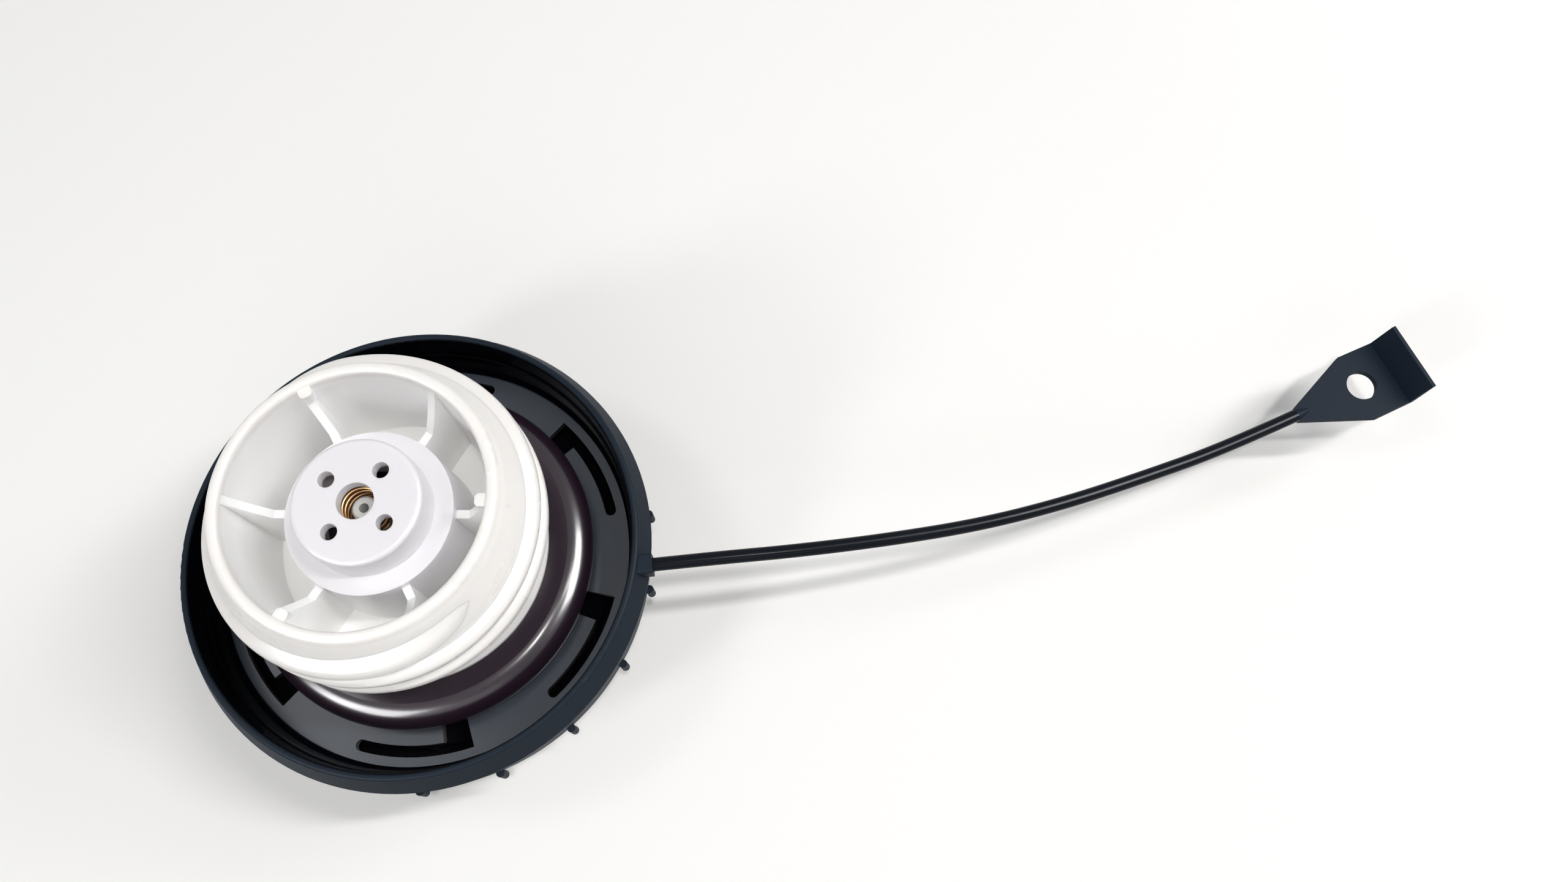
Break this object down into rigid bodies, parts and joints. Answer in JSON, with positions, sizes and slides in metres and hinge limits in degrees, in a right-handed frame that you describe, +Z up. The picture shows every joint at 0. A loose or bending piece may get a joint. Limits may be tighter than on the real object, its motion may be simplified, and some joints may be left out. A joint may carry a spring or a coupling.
{
  "type": "fuel filler cap",
  "caption": "Threaded fuel filler cap with a grip bar, torque ratchet, vented plug, sealing ring and a tether strap that ends in a holed tab.",
  "frame": {"origin": "centre of the grip's flat end, where the cap stands on its grip", "axes": "+Z up the plug towards the tank; +X towards the block that the tether strap leaves; the grip bar lies along X"},
  "size_m": [0.2133, 0.0941, 0.0593],
  "materials": {
    "black_cover": "moulded black, glossy",
    "dark_plate": "moulded dark grey, satin",
    "white_plastic": "natural white moulded, slightly translucent",
    "pale_valve": "greyish white moulded",
    "gasket_rubber": "smooth black rubber",
    "seal_rubber": "dark rubber",
    "spring_steel": "drawn spring wire",
    "bronze_wire": "drawn bronze wire",
    "black_strap": "moulded black, satin gloss"
  },
  "bodies": {
    "cover": {"cover": "black_cover"},
    "closer": {"closer": "white_plastic", "torque_plate": "dark_plate", "gasket": "gasket_rubber", "inner_cover": "white_plastic", "pressure_spring": "spring_steel", "vacuum_spring": "bronze_wire"},
    "pressure_valve": {"pressure_valve": "white_plastic", "valve_seal": "seal_rubber"},
    "vacuum_valve": {"vacuum_valve": "pale_valve"},
    "tether": {"tether_ring": "black_cover", "tether_cord": "black_strap", "tether_tab": "black_strap"}
  },
  "joints": [
    {"name": "ratchet_turn", "type": "hinge", "parent": "cover", "child": "closer", "pos_m": [0, 0, 0.0205], "axis": [0, 0, 1], "continuous": true},
    {"name": "tether_swivel", "type": "hinge", "parent": "cover", "child": "tether", "pos_m": [0, 0, 0.027], "axis": [0, 0, 1], "continuous": true},
    {"name": "pressure_relief", "type": "slide", "parent": "closer", "child": "pressure_valve", "axis": [0, 0, -1], "range_m": [0, 0.002], "stiffness_N_per_m": 500, "springref_m": -0.003, "deforming": ["pressure_spring"]},
    {"name": "vacuum_relief", "type": "slide", "parent": "pressure_valve", "child": "vacuum_valve", "axis": [0, 0, 1], "range_m": [0, 0.0015], "stiffness_N_per_m": 80, "springref_m": -0.002, "deforming": ["vacuum_spring"]}
  ]
}
